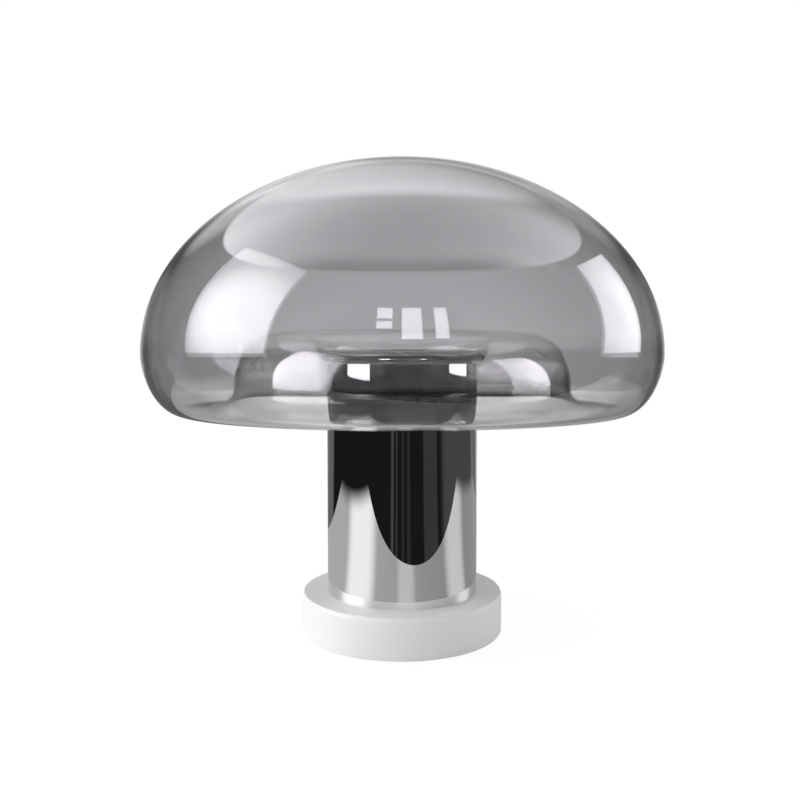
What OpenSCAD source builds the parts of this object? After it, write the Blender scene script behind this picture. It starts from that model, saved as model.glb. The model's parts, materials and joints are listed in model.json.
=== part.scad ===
// Mushroom table lamp: a blown smoked-glass bubble on a chromed stem and a polished stone foot.
// Millimetres, +Z up. The origin is on the table, on the axis of the stem. The cord leaves at +Y.
// The shade rests by its weight on a silicone ring and lifts straight off.

/* [Glass shade] */
// Diameter of the shade at its widest
shade_d = 300; // [280:1:320]
// Thickness of the blown glass
glass_t = 3.5; // [3:0.1:4]
// Height of the crown above the seat
crown_rise = 114.6; // [100:0.2:130]
// Height of the widest circle above the seat
widest_rise = 2.6; // [0:0.2:8]
// Depth of the fold's lowest circle below the seat
fold_drop = 31.4; // [28:0.2:36]
// Distance of the fold's lowest circle in from the widest
fold_inset = 24.5; // [21:0.5:28]
// Distance of the hollow's wall in from the fold
rim_w = 28; // [25:0.5:31]
// Height above the fold at which the hollow's wall stands plumb
hollow_foot = 14; // [12:0.5:17]
// Height of the hollow's crest above the seat, under the glass
crest_rise = 15.1; // [13:0.1:18]
// Reach of the crest outside the recess
crest_reach = 10.5; // [9:0.5:13]
// Reach of the recess outside the stem
recess_reach = 6.5; // [5:0.5:8]
// Radius of the recess's lower corner, outside the glass
recess_corner = 6; // [5:0.5:7]
// Gap round the light head in the neck hole
neck_gap = 1.5; // [1:0.1:2.5]

/* [Stone foot] */
// Diameter of the foot
base_d = 120; // [112:1:140]
// Thickness of the foot
base_h = 23.5; // [21:0.5:32]
// Radius of the polished upper edge
base_edge = 2.5; // [1:0.5:4]
// Radius of the lower edge
base_arris = 0.8; // [0.4:0.1:1]
// Diameter of the hollow cut into the underside
pocket_d = 84; // [80:1:86]
// Depth of that hollow above the cover plate
pocket_h = 12; // [11.5:0.5:13]
// Width of the ledge that carries the cover plate
ledge_w = 6.5; // [6:0.1:7]
// Height of the foot above the table
base_lift = 1; // [0.5:0.1:1.4]
// Thickness of the steel cover plate
plate_t = 1.5; // [1.2:0.1:2]
// Thickness of the rubber pad
pad_t = 2; // [1.6:0.1:3]

/* [Stem] */
// Diameter of the chromed tube
stem_d = 90; // [86:1:94]
// Length of the tube
stem_h = 137.5; // [130:0.5:160]
// Wall of the tube
stem_wall = 1.5; // [1.2:0.1:2]
// Depth of the cap's rim below the top of the tube
cap_sink = 0.5; // [0.2:0.1:0.8]
// Thickness of the cap's rim
cap_t = 3; // [2.5:0.1:4]
// Thickness of the cap's well
well_t = 2; // [1.6:0.1:3]
// Depth of the well below the top of the rim
well_depth = 13.5; // [13:0.1:15]
// Size of the ledge inside the tube, square in section
ring_w = 3; // [2:0.1:4]
// Thickness of the plate in the foot of the tube
foot_plate_t = 3; // [2:0.1:4]
// Thickness of the silicone ring under the glass
gasket_t = 1.9; // [1.7:0.1:3]
// Width of the silicone ring
gasket_w = 8; // [6:0.5:9]

/* [Light head] */
// Diameter of the head that stands in the neck of the glass
head_d = 35; // [34:0.5:38]
// Diameter of the heat sink's flange
flange_d = 58; // [56:0.5:60]
// Thickness of the heat sink's flange
flange_t = 2.5; // [2:0.1:3]
// Height of the heat sink up to the shoulder that carries the bezel
sink_h = 13; // [12.5:0.1:14]
// Thickness of the top of the heat sink
sink_top = 2.5; // [2:0.1:3]
// Height of the spigot inside the bezel
spigot_h = 2; // [1.5:0.1:2.5]
// Number of fins round the heat sink
fin_count = 27; // [21:3:33]
// Thickness of a fin
fin_t = 1.2; // [0.8:0.1:1.4]
// Thickness of the light board
board_t = 1.2; // [1:0.1:1.6]
// Thickness of the lens
lens_t = 1.5; // [1.2:0.1:2]
// Space between the board and the lens
lens_room = 2.1; // [1.6:0.1:3]
// Wall of the chromed bezel
bezel_wall = 1.8; // [1.5:0.1:2.2]
// Thickness of the bezel's lip
lip_t = 1; // [0.8:0.1:1.4]
// Width of the bezel's lip beyond its wall
lip_w = 2; // [1.8:0.1:3]

/* [Fixings] */
// Diameter of the tie rod
rod_d = 8; // [7.5:0.1:8.4]
// Width across the flats of its nuts
nut_af = 13; // [12.5:0.1:13.4]
// Height of its nuts
nut_h = 6.5; // [5.5:0.1:6.8]
// Thickness of its washers
washer_t = 1.6; // [1.2:0.1:1.8]
// Diameter of the cap's washer
washer_d = 16; // [15:0.5:17]
// Diameter of the wide washers at the foot
wide_washer_d = 22; // [20:0.5:24]
// Diameter of the small screws
screw_d = 3; // [2.6:0.1:3.2]
// Length of the small screws under the head
screw_l = 6.5; // [6:0.5:7]

/* [Wiring] */
// Bore of the rubber inlet for the mains cord
inlet_bore = 6.5; // [5.5:0.1:7]
// Wall of the rubber inlet
inlet_wall = 1.5; // [1.2:0.1:2]
// Width of the driver's case
driver_w = 26; // [22:1:30]
// Depth of the driver's case, out from its bracket
driver_l = 20; // [18:0.5:22]
// Height of the driver's case
driver_h = 50; // [44:1:56]
// Height of the driver above the plate in the tube
driver_rise = 28.5; // [26:0.5:34]
// Width of the terminal block
block_w = 20; // [18:0.5:22]
// Depth of the terminal block, from the inlet's side to the bush's side
block_l = 10; // [8:0.5:10]
// Height of the terminal block
block_h = 8; // [7:0.1:9]
// Diameter of a mains wire
wire_d = 2; // [1.8:0.1:2.2]
// Diameter of a wire to the light board
led_wire_d = 1.4; // [1:0.1:1.5]

/* [Fits] */
// Gap round a plate or disc that drops into its place
drop_gap = 0.3; // [0.2:0.05:0.4]
// Gap round a bolt in its hole
bolt_gap = 0.4; // [0.2:0.05:0.5]
// Gap between two threads
thread_gap = 0.05; // [0.03:0.01:0.1]

/* [Hidden] */

// Every cut runs past the face it opens by this much
over = 1;
// Facets round a full circle
$fn = 96;
// Straight pieces in each curve of the glass
curve_steps = 10;
// Straight pieces in each quarter of the fold and the recess's corner
corner_steps = 6;

// Heights, from the table up
plate_z = pad_t;
pocket_z = plate_z + plate_t;
pocket_top = pocket_z + pocket_h;
base_top = base_lift + base_h;
foot_plate_top = base_top + foot_plate_t;
stem_top = base_top + stem_h;
cap_top = stem_top - cap_sink;
well_floor = cap_top - well_depth;
seat_z = cap_top + gasket_t;
shoulder_z = well_floor + sink_h;
board_z = shoulder_z + spigot_h;
lens_z = board_z + board_t + lens_room;
bezel_top = lens_z + lens_t + lip_t;

// Radii
stem_r = stem_d / 2;
bore_r = stem_r - stem_wall;
cap_r = bore_r - drop_gap;
gasket_inset = 1.2;
gasket_r = cap_r - gasket_inset;
well_r = flange_d / 2 + drop_gap * 3;
pocket_r = pocket_d / 2;
plate_r = pocket_r + ledge_w - drop_gap;
pad_inset = 0.2;
head_r = head_d / 2;
neck_r = head_r + neck_gap;
spigot_r = head_r - bezel_wall - thread_gap * 2;
rod_hole_r = rod_d / 2 + bolt_gap;
rod_tip = 1;
screw_head_r = screw_d * 0.95;
screw_head_h = screw_d * 0.6;

// Screws that hold the cover plate, and their brass inserts
cover_screw_count = 4;
cover_screw_turn = 45;
insert_r = screw_d * 0.77;
insert_l = screw_l + base_lift;
cover_screw_r = pocket_r + ledge_w / 2;

// The cord's inlet, level with the middle of the pocket
inlet_z = pocket_z + pocket_h / 2;
sleeve_r = inlet_bore / 2 + inlet_wall;
inlet_flange_w = 1.6;
inlet_flange_t = 1.6;
inlet_proud = 0.6;
spot_gap = 0.2;
inlet_inner_w = 1;
inlet_seat = base_d / 2 + inlet_proud - inlet_flange_t;

// The mains wires, from the terminal block through the bush to the driver
bush_slack = 1;
bush_bore = wire_d * 2 + bush_slack;
bush_wall = 1.5;
bush_r = bush_bore / 2 + bush_wall;
bush_flange_w = 1;
bush_flange_t = 1;
bush_clear = 1.5;
bush_y = wide_washer_d / 2 + bush_clear + bush_flange_w + bush_r;
block_y = bush_y + bush_r + wire_d * 1.2;
block_pole = block_w / 4;
block_wire_z = pocket_z + block_h / 2;
terminal_screw_r = block_w * 0.09;
terminal_screw_sink = block_h / 8;
wire_step = wire_d * 0.6;

// The driver and its bracket
bracket_t = 1.5;
bracket_w = 18;
bracket_back = 9;
nut_corner = nut_af / sqrt(3);
bracket_face = nut_corner + screw_head_h + bracket_t * 2.4;
driver_z = foot_plate_top + driver_rise;
nut_room = 1;
bracket_drop = nut_h + nut_room;
bracket_z = driver_z - bracket_drop - bracket_t;
driver_screw_inset = driver_h / 4;
driver_wire_y = bracket_face + driver_l / 2;
driver_pole = 3.5;
driver_corner = 2;

// The wires to the light board, past the washer and the nut
led_wire_gap = led_wire_d * 0.7;
led_wire_y = washer_d / 2 + led_wire_gap + led_wire_d / 2;
led_pole = led_wire_d;
led_hole_r = led_wire_d / 2 + bolt_gap;
sink_bore_r = led_wire_y + led_pole + led_hole_r;
solder_h = 0.5;
chip_ring_r = head_r * 0.43;
chip_w = 3;
chip_h = 0.7;
chip_count = 6;
sink_screw_count = 3;
fin_gap = 1;
sink_screw_r = (head_r + flange_d / 2) / 2;

// A point on a curve that leaves a and reaches b, level at one end and plumb at the other.
// lead and trail are the shares of the run over which each end holds its direction.
function handle_a(a, b, level, lead_share) = level
    ? [a.x + (b.x - a.x) * lead_share, a.y]
    : [a.x, a.y + (b.y - a.y) * lead_share];
function handle_b(a, b, level, trail_share) = level
    ? [b.x, b.y - (b.y - a.y) * trail_share]
    : [b.x - (b.x - a.x) * trail_share, b.y];
function curve_at(a, ha, hb, b, t) =
    pow(1 - t, 3) * a + 3 * pow(1 - t, 2) * t * ha + 3 * (1 - t) * t * t * hb + pow(t, 3) * b;
function heading_at(a, ha, hb, b, t) =
    pow(1 - t, 2) * (ha - a) + 2 * (1 - t) * t * (hb - ha) + t * t * (b - hb);
// The same point moved in square to the curve, to the right of its heading
function skin_at(a, ha, hb, b, t, inset) =
    let (h = heading_at(a, ha, hb, b, t))
    curve_at(a, ha, hb, b, t) + inset / norm(h) * [h.y, -h.x];
function skin(a, b, level, lead_share, trail_share, steps, inset) =
    let (ha = handle_a(a, b, level, lead_share), hb = handle_b(a, b, level, trail_share))
    [for (i = [0 : steps - 1]) skin_at(a, ha, hb, b, i / steps, inset)];

// Knots of the glass's outer skin, radius and height: crown, widest, fold, wall, crest, recess, seat
crown = [0, seat_z + crown_rise];
widest = [shade_d / 2, seat_z + widest_rise];
fold = [widest.x - fold_inset, seat_z - fold_drop];
wall = [fold.x - rim_w, fold.y + hollow_foot];
recess = [stem_r + recess_reach, seat_z + recess_corner];
crest = [recess.x + crest_reach, seat_z + crest_rise];
seat = [recess.x - recess_corner, seat_z];

// How long each end of a curve holds its direction: crown, shoulder, fold, wall, crest, corner
crown_shares = [0.555, 0.55];
shoulder_shares = [0.25, 0.75];
fold_shares = [0.6, 0.6];
wall_shares = [0.5, 0.62];
crest_shares = [0.55, 0.6];
corner_shares = [0.55, 0.55];

// The whole skin of the glass from the crown to the neck, at a depth below its outer face
function glass_skin(inset) = concat(
    skin(crown, widest, true, crown_shares[0], crown_shares[1], curve_steps * 2, inset),
    skin(widest, fold, false, shoulder_shares[0], shoulder_shares[1], curve_steps, inset),
    skin(fold, wall, true, fold_shares[0], fold_shares[1], corner_steps, inset),
    skin(wall, crest, false, wall_shares[0], wall_shares[1], curve_steps, inset),
    skin(crest, recess, true, crest_shares[0], crest_shares[1], corner_steps, inset),
    skin(recess, seat, false, corner_shares[0], corner_shares[1], corner_steps, inset),
    [[seat.x, seat_z + inset], [neck_r, seat_z + inset]]
);

function reversed(list) = [for (i = [len(list) - 1 : -1 : 0]) list[i]];

// The glass is one bubble: its skin folds under at the rim, climbs inside to the crest, and dips
// to the flat disc that stands on the stem
module shade_glass() {
    color([0.45, 0.44, 0.46, 0.5])
        rotate_extrude()
            polygon(concat(glass_skin(0), reversed(glass_skin(glass_t))));
}

// Quarter round that fills an edge of a turned disc
module turned(r, h, top_round, foot_round) {
    rotate_extrude()
        union() {
            translate([0, foot_round]) square([r, h - top_round - foot_round]);
            square([r - foot_round, h]);
            translate([0, h / 2]) square([r - top_round, h / 2]);
            translate([r - top_round, h - top_round]) circle(top_round);
            translate([r - foot_round, foot_round]) circle(foot_round);
        }
}

module ring(outer_r, inner_r, z, h) {
    translate([0, 0, z])
        difference() {
            cylinder(r = outer_r, h = h);
            translate([0, 0, -over]) cylinder(r = inner_r, h = h + over * 2);
        }
}

// Copies its children round the axis, the first one turned by start
module round_axis(count, start = 0) {
    for (i = [0 : count - 1]) rotate([0, 0, start + i * 360 / count]) children();
}

module nut(z) {
    translate([0, 0, z])
        difference() {
            cylinder(r = nut_corner, h = nut_h, $fn = 6);
            translate([0, 0, -over]) cylinder(r = rod_d / 2 + thread_gap, h = nut_h + over * 2);
        }
}

module base_disc() {
    color("white")
        difference() {
            translate([0, 0, base_lift]) turned(base_d / 2, base_h, base_edge, base_arris);
            translate([0, 0, base_lift - over]) cylinder(r = plate_r + drop_gap, h = pocket_z - base_lift + over);
            translate([0, 0, base_lift]) cylinder(r = pocket_r, h = pocket_top - base_lift);
            translate([0, 0, pocket_top - over]) cylinder(r = rod_hole_r, h = base_h);
            translate([0, bush_y, pocket_top - over]) cylinder(r = bush_r, h = base_h);
            round_axis(cover_screw_count, cover_screw_turn)
                translate([cover_screw_r, 0, pocket_z - over]) cylinder(r = insert_r, h = insert_l + over);
            translate([0, base_d / 2 + over, inlet_z])
                rotate([90, 0, 0]) cylinder(r = sleeve_r, h = base_d / 2);
            translate([0, inlet_seat, inlet_z])
                rotate([-90, 0, 0]) cylinder(r = sleeve_r + inlet_flange_w + spot_gap, h = base_d / 2);
        }
}

module base_cover_plate() {
    color("silver")
        difference() {
            translate([0, 0, plate_z]) cylinder(r = plate_r, h = plate_t);
            round_axis(cover_screw_count, cover_screw_turn)
                translate([cover_screw_r, 0, plate_z]) {
                    cylinder(r1 = screw_head_r, r2 = screw_d / 2 + thread_gap, h = plate_t);
                    translate([0, 0, -over]) cylinder(r = screw_d / 2 + thread_gap, h = plate_t + over * 2);
                }
        }
}

module foot_pad() {
    pad_chamfer = pad_t / 5;
    color("dimgray")
        rotate_extrude()
            polygon([
                [0, 0], [plate_r - pad_inset - pad_chamfer, 0], [plate_r - pad_inset, pad_chamfer],
                [plate_r - pad_inset, pad_t], [0, pad_t]
            ]);
}

module cover_inserts() {
    color("goldenrod")
        round_axis(cover_screw_count, cover_screw_turn)
            translate([cover_screw_r, 0, 0]) ring(insert_r, screw_d / 2 + thread_gap, pocket_z, insert_l);
}

module cover_screws() {
    color("silver")
        round_axis(cover_screw_count, cover_screw_turn)
            translate([cover_screw_r, 0, plate_z])
                rotate_extrude()
                    polygon([
                        [0, 0], [screw_head_r - thread_gap, 0], [screw_d / 2, plate_t],
                        [screw_d / 2, plate_t + screw_l], [0, plate_t + screw_l]
                    ]);
}

// Rubber sleeve with a flange on each side of the stone
module cable_grommet() {
    inner_end = sqrt(pocket_r * pocket_r - sleeve_r * sleeve_r) - inlet_flange_t;
    color([0.92, 0.92, 0.92])
        translate([0, 0, inlet_z])
            rotate([-90, 0, 0])
                difference() {
                    union() {
                        translate([0, 0, inner_end])
                            cylinder(r = sleeve_r, h = base_d / 2 + inlet_proud - inner_end);
                        translate([0, 0, inlet_seat])
                            cylinder(r = sleeve_r + inlet_flange_w, h = inlet_flange_t);
                        translate([0, 0, inner_end - inlet_flange_t / 2])
                            cylinder(r = sleeve_r + inlet_inner_w, h = inlet_flange_t);
                    }
                    cylinder(r = inlet_bore / 2, h = base_d);
                }
}

module terminal_block() {
    color("ivory")
        difference() {
            translate([-block_w / 2, block_y, pocket_z]) cube([block_w, block_l, block_h]);
            for (side = [-1, 1]) {
                translate([side * block_pole, block_y + block_l + over, block_wire_z])
                    rotate([90, 0, 0]) cylinder(r = wire_d * 0.75, h = block_l / 2 + over);
                translate([side * block_pole, block_y + block_l / 2, pocket_z + block_h / 2 + wire_d])
                    cylinder(r = terminal_screw_r + thread_gap, h = block_h);
            }
        }
}

module terminal_screws() {
    screw_z = pocket_z + block_h / 2 + wire_d;
    slot_w = terminal_screw_r / 3;
    color("gold")
        for (side = [-1, 1])
            translate([side * block_pole, block_y + block_l / 2, 0])
                difference() {
                    translate([0, 0, screw_z])
                        cylinder(r = terminal_screw_r, h = pocket_z + block_h - terminal_screw_sink - screw_z);
                    translate([-block_w / 2, -slot_w / 2, pocket_z + block_h - terminal_screw_sink * 1.5])
                        cube([block_w, slot_w, block_h]);
                }
}

module wire_bush() {
    color("dimgray")
        translate([0, bush_y, 0])
            difference() {
                union() {
                    translate([0, 0, pocket_top]) cylinder(r = bush_r, h = foot_plate_top - pocket_top);
                    translate([0, 0, pocket_top - bush_flange_t])
                        cylinder(r = bush_r + bush_flange_w, h = bush_flange_t);
                }
                cylinder(r = bush_bore / 2, h = stem_top);
            }
}

// The rod that draws the cap, the tube and the stone together
module tie_rod() {
    rod_foot = pocket_top - washer_t * 2 - nut_h - rod_tip;
    rod_head = well_floor + washer_t + nut_h + rod_tip;
    chamfer = rod_tip / 2;
    color("gainsboro")
        rotate_extrude()
            polygon([
                [0, rod_foot], [rod_d / 2 - chamfer, rod_foot], [rod_d / 2, rod_foot + chamfer],
                [rod_d / 2, rod_head - chamfer], [rod_d / 2 - chamfer, rod_head], [0, rod_head]
            ]);
}

module base_washer() {
    color("silver") ring(wide_washer_d / 2, rod_hole_r, pocket_top - washer_t, washer_t);
}

// Spring washer: a ring with a slit
module base_lock_washer() {
    color("silver")
        difference() {
            ring(nut_af / 2, rod_d / 2 + thread_gap * 2, pocket_top - washer_t * 2, washer_t);
            translate([0, -washer_t / 4, 0]) cube([nut_af, washer_t / 2, base_top]);
        }
}

module base_nut() {
    color("silver") nut(pocket_top - washer_t * 2 - nut_h);
}

// Disc that centres the tube on the stone
module foot_plate() {
    color("silver")
        difference() {
            translate([0, 0, base_top]) cylinder(r = cap_r, h = foot_plate_t);
            translate([0, 0, base_top - over]) cylinder(r = rod_hole_r, h = foot_plate_t + over * 2);
            translate([0, bush_y, base_top - over]) cylinder(r = bush_r, h = foot_plate_t + over * 2);
        }
}

module foot_washer() {
    color("silver") ring(wide_washer_d / 2, rod_hole_r, foot_plate_top, washer_t);
}

module foot_nut() {
    color("silver") nut(foot_plate_top + washer_t);
}

// Chromed tube with a ledge inside its mouth, on which the cap bears
module stem_tube() {
    ledge_top = cap_top - cap_t;
    color([0.75, 0.76, 0.78])
        rotate_extrude()
            polygon([
                [bore_r, base_top], [stem_r, base_top], [stem_r, stem_top], [bore_r, stem_top],
                [bore_r, ledge_top], [bore_r - ring_w, ledge_top], [bore_r - ring_w, ledge_top - ring_w],
                [bore_r, ledge_top - ring_w]
            ]);
}

// Turned cap: a rim on the tube's ledge and a well that holds the light head
module stem_cap() {
    color("silver")
        difference() {
            rotate_extrude()
                polygon([
                    [0, well_floor - well_t], [well_r + well_t, well_floor - well_t],
                    [well_r + well_t, cap_top - cap_t], [cap_r, cap_top - cap_t], [cap_r, cap_top],
                    [well_r, cap_top], [well_r, well_floor], [0, well_floor]
                ]);
            translate([0, 0, well_floor - well_t - over]) {
                cylinder(r = rod_hole_r, h = well_t + over * 2);
                for (side = [-1, 1])
                    translate([side * led_pole, led_wire_y, 0]) cylinder(r = led_hole_r, h = well_t + over * 2);
                round_axis(sink_screw_count)
                    translate([sink_screw_r, 0, 0]) cylinder(r = screw_d / 2 + thread_gap, h = well_t + over * 2);
            }
        }
}

module cap_washer() {
    color("silver") ring(washer_d / 2, rod_hole_r, well_floor, washer_t);
}

module cap_nut() {
    color("silver") nut(well_floor + washer_t);
}

module seat_gasket() {
    color([0.9, 0.92, 0.93, 0.6]) ring(gasket_r, gasket_r - gasket_w, cap_top, gasket_t);
}

// Bent strip between two nuts on the rod, with a tab up the driver's back
module driver_bracket() {
    tab_top = driver_z + driver_h - driver_corner;
    color("silver")
        difference() {
            union() {
                translate([-bracket_w / 2, -bracket_back, bracket_z])
                    cube([bracket_w, bracket_back + bracket_face, bracket_t]);
                translate([-bracket_w / 2, bracket_face - bracket_t, bracket_z])
                    cube([bracket_w, bracket_t, tab_top - bracket_z]);
            }
            translate([0, 0, bracket_z - over]) cylinder(r = rod_hole_r, h = bracket_t + over * 2);
            for (z = [driver_screw_inset, driver_h - driver_screw_inset])
                translate([0, bracket_face + over, driver_z + z])
                    rotate([90, 0, 0]) cylinder(r = screw_d / 2 + thread_gap, h = bracket_t + over * 2);
        }
}

module bracket_nuts() {
    color("silver") {
        nut(bracket_z - nut_h);
        nut(bracket_z + bracket_t);
    }
}

// Moulded case of the driver, with its corners taken off
module led_driver() {
    w = driver_w / 2;
    c = driver_corner;
    color("whitesmoke")
        difference() {
            translate([0, bracket_face, driver_z])
                linear_extrude(driver_h)
                    polygon([
                        [-w + c, 0], [w - c, 0], [w, c], [w, driver_l - c],
                        [w - c, driver_l], [-w + c, driver_l], [-w, driver_l - c], [-w, c]
                    ]);
            for (z = [driver_screw_inset, driver_h - driver_screw_inset])
                translate([0, bracket_face + screw_l, driver_z + z])
                    rotate([90, 0, 0]) cylinder(r = screw_d / 2 + thread_gap, h = screw_l + over);
        }
}

module pan_screw(length) {
    translate([0, 0, -length]) cylinder(r = screw_d / 2, h = length);
    cylinder(r = screw_head_r, h = screw_head_h);
}

module driver_screws() {
    color("gainsboro")
        for (z = [driver_screw_inset, driver_h - driver_screw_inset])
            translate([0, bracket_face - bracket_t, driver_z + z])
                rotate([90, 0, 0]) pan_screw(screw_l);
}

// Finned aluminium body: a flange on the well's floor, fins, and the post that carries the board
module led_heatsink() {
    fin_top = shoulder_z - sink_top;
    color([0.82, 0.83, 0.84])
        difference() {
            union() {
                translate([0, 0, well_floor]) cylinder(r = flange_d / 2, h = flange_t);
                translate([0, 0, well_floor]) cylinder(r = head_r, h = sink_h);
                translate([0, 0, shoulder_z]) cylinder(r = spigot_r, h = spigot_h);
                round_axis(fin_count, 180 / fin_count)
                    translate([head_r - fin_gap, -fin_t / 2, well_floor])
                        cube([flange_d / 2 - head_r, fin_t, fin_top - well_floor]);
            }
            translate([0, 0, well_floor - over]) cylinder(r = sink_bore_r, h = fin_top - well_floor + over);
            for (side = [-1, 1])
                translate([side * led_pole, led_wire_y, well_floor]) cylinder(r = led_hole_r, h = stem_h);
            round_axis(sink_screw_count) {
                translate([sink_screw_r, 0, well_floor - over])
                    cylinder(r = screw_d / 2 + thread_gap, h = flange_t + over * 2);
                translate([sink_screw_r, 0, well_floor + flange_t])
                    cylinder(r = screw_head_r + bolt_gap, h = stem_h);
            }
        }
}

module heatsink_screws() {
    color("gainsboro")
        round_axis(sink_screw_count)
            translate([sink_screw_r, 0, well_floor + flange_t]) pan_screw(flange_t + well_t);
}

module led_board() {
    color("white")
        difference() {
            translate([0, 0, board_z]) cylinder(r = spigot_r, h = board_t);
            for (side = [-1, 1])
                translate([side * led_pole, led_wire_y, board_z - over])
                    cylinder(r = led_wire_d / 2 + thread_gap, h = board_t + over * 2);
        }
}

module led_chips() {
    color("khaki")
        translate([-chip_w / 2, -chip_w / 2, board_z + board_t]) {
            cube([chip_w, chip_w, chip_h]);
            for (i = [0 : chip_count - 1])
                translate(chip_ring_r * [cos(i * 360 / chip_count), sin(i * 360 / chip_count), 0])
                    cube([chip_w, chip_w, chip_h]);
        }
}

// Frosted cap that stands on the board's rim, under the bezel's lip
module led_lens() {
    skirt_r = spigot_r - bezel_wall;
    color([0.97, 0.97, 0.95])
        rotate_extrude()
            polygon([
                [skirt_r, board_z + board_t], [spigot_r, board_z + board_t], [spigot_r, lens_z + lens_t],
                [0, lens_z + lens_t], [0, lens_z], [skirt_r, lens_z]
            ]);
}

module lens_bezel() {
    wall_r = head_r - bezel_wall;
    edge = lip_t / 3;
    color([0.75, 0.76, 0.78])
        rotate_extrude()
            polygon([
                [wall_r, shoulder_z], [head_r, shoulder_z], [head_r, bezel_top - edge],
                [head_r - edge, bezel_top], [wall_r - lip_w, bezel_top], [wall_r - lip_w, bezel_top - lip_t],
                [wall_r, bezel_top - lip_t]
            ]);
}

// A round wire swept along a route. It runs near the YZ plane, so its rings start from the X axis.
wire_sides = 8;
bend_steps = 6;
function unit(v) = v / norm(v);
function along(route, i) = unit(route[min(i + 1, len(route) - 1)] - route[max(i - 1, 0)]);
function wire_ring(centre, heading, r) =
    let (across = unit([1, 0, 0] - heading.x * heading), up = cross(heading, across))
    [for (s = [0 : wire_sides - 1])
        centre + r * (cos(s * 360 / wire_sides) * across + sin(s * 360 / wire_sides) * up)];
function bend(a, ha, hb, b, steps) = [for (i = [0 : steps]) curve_at(a, ha, hb, b, i / steps)];

module wire(route, d) {
    last = len(route) - 1;
    rings = [for (i = [0 : last]) each wire_ring(route[i], along(route, i), d / 2)];
    n = wire_sides;
    walls = [
        for (i = [0 : last - 1], s = [0 : n - 1])
            let (a = i * n + s, b = i * n + (s + 1) % n)
            each [[a, b + n, b], [a, a + n, b + n]]
    ];
    polyhedron(rings, concat([[for (s = [0 : n - 1]) s]], walls, [[for (s = [n - 1 : -1 : 0]) last * n + s]]));
}

// From the block's inner face, up through the bush, to the driver's foot. Each end runs straight.
module mains_wire(side) {
    x = side * (wire_d / 2 + wire_step / 4);
    stub = [0, 0, wire_d];
    start = [side * block_pole, block_y, block_wire_z];
    leave = start - [0, wire_d / 2, 0];
    bush_foot = [x, bush_y, pocket_top - bush_flange_t];
    bush_head = [x, bush_y, foot_plate_top];
    finish = [side * driver_pole, driver_wire_y, driver_z];
    reach = [0, 0, driver_rise / 2];
    turn = bush_foot.z - leave.z;
    wire(concat(
        [start],
        bend(leave, leave - [0, turn / 2, 0], bush_foot - [0, 0, turn / 2], bush_foot, bend_steps),
        bend(bush_head, bush_head + reach, finish - stub - reach, finish - stub, bend_steps),
        [finish]
    ), wire_d);
}

module live_wire() { color("sienna") mains_wire(-1); }
module neutral_wire() { color("steelblue") mains_wire(1); }

// From the driver's top, through the cap and the heat sink, to the pads on the board
module led_wire(side) {
    stub = [0, 0, led_wire_d];
    start = [side * driver_pole, driver_wire_y, driver_z + driver_h];
    cap_foot = [side * led_pole, led_wire_y, well_floor - well_t];
    finish = [side * led_pole, led_wire_y, board_z + board_t + solder_h];
    reach = [0, 0, (cap_foot.z - start.z) / 2];
    wire(concat(
        [start],
        bend(start + stub, start + reach, cap_foot - reach, cap_foot, bend_steps * 2),
        [finish]
    ), led_wire_d);
}

module led_positive_wire() { color("firebrick") led_wire(-1); }
module led_negative_wire() { color("black") led_wire(1); }

base_disc();
base_cover_plate();
foot_pad();
cover_inserts();
cover_screws();
cable_grommet();
terminal_block();
terminal_screws();
wire_bush();
tie_rod();
base_washer();
base_lock_washer();
base_nut();
foot_plate();
foot_washer();
foot_nut();
stem_tube();
stem_cap();
cap_washer();
cap_nut();
seat_gasket();
driver_bracket();
bracket_nuts();
led_driver();
driver_screws();
led_heatsink();
heatsink_screws();
led_board();
led_chips();
led_lens();
lens_bezel();
live_wire();
neutral_wire();
led_positive_wire();
led_negative_wire();
shade_glass();
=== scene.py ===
# %% [markdown]
# # Dressing a mushroom table lamp
#
# The lamp is three plain things: a blown bubble of smoked glass, a mirror-chromed tube and a round foot
# of white stone. Each one mostly shows what stands around it, so half of this lesson is about the
# finishes and the other half is about the room that they reflect.
#
# The packed CAD model comes first. It fixes every place and size, and nothing here moves it.

# %% Load the frame
import json
import math

import bmesh
import bpy
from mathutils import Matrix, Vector


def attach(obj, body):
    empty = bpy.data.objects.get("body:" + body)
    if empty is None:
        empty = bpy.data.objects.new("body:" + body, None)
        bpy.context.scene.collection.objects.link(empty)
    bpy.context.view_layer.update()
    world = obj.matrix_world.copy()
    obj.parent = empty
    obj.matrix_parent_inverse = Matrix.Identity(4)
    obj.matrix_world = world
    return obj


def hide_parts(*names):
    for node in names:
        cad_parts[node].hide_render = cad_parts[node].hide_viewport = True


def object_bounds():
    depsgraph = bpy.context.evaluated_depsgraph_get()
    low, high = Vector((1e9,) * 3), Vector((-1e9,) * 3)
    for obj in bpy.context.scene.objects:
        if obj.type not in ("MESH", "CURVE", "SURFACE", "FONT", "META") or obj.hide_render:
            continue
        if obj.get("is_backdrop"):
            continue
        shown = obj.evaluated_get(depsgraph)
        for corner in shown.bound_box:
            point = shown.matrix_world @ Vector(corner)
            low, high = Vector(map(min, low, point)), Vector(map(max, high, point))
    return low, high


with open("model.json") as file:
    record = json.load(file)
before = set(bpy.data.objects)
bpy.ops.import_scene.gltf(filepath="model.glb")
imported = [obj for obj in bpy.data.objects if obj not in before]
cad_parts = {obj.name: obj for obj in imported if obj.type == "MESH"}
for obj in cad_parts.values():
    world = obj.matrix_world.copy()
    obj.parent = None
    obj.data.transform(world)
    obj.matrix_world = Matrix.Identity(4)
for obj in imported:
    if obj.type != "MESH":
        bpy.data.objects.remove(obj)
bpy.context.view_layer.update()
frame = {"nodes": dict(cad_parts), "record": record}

nodes = frame["nodes"]

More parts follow.
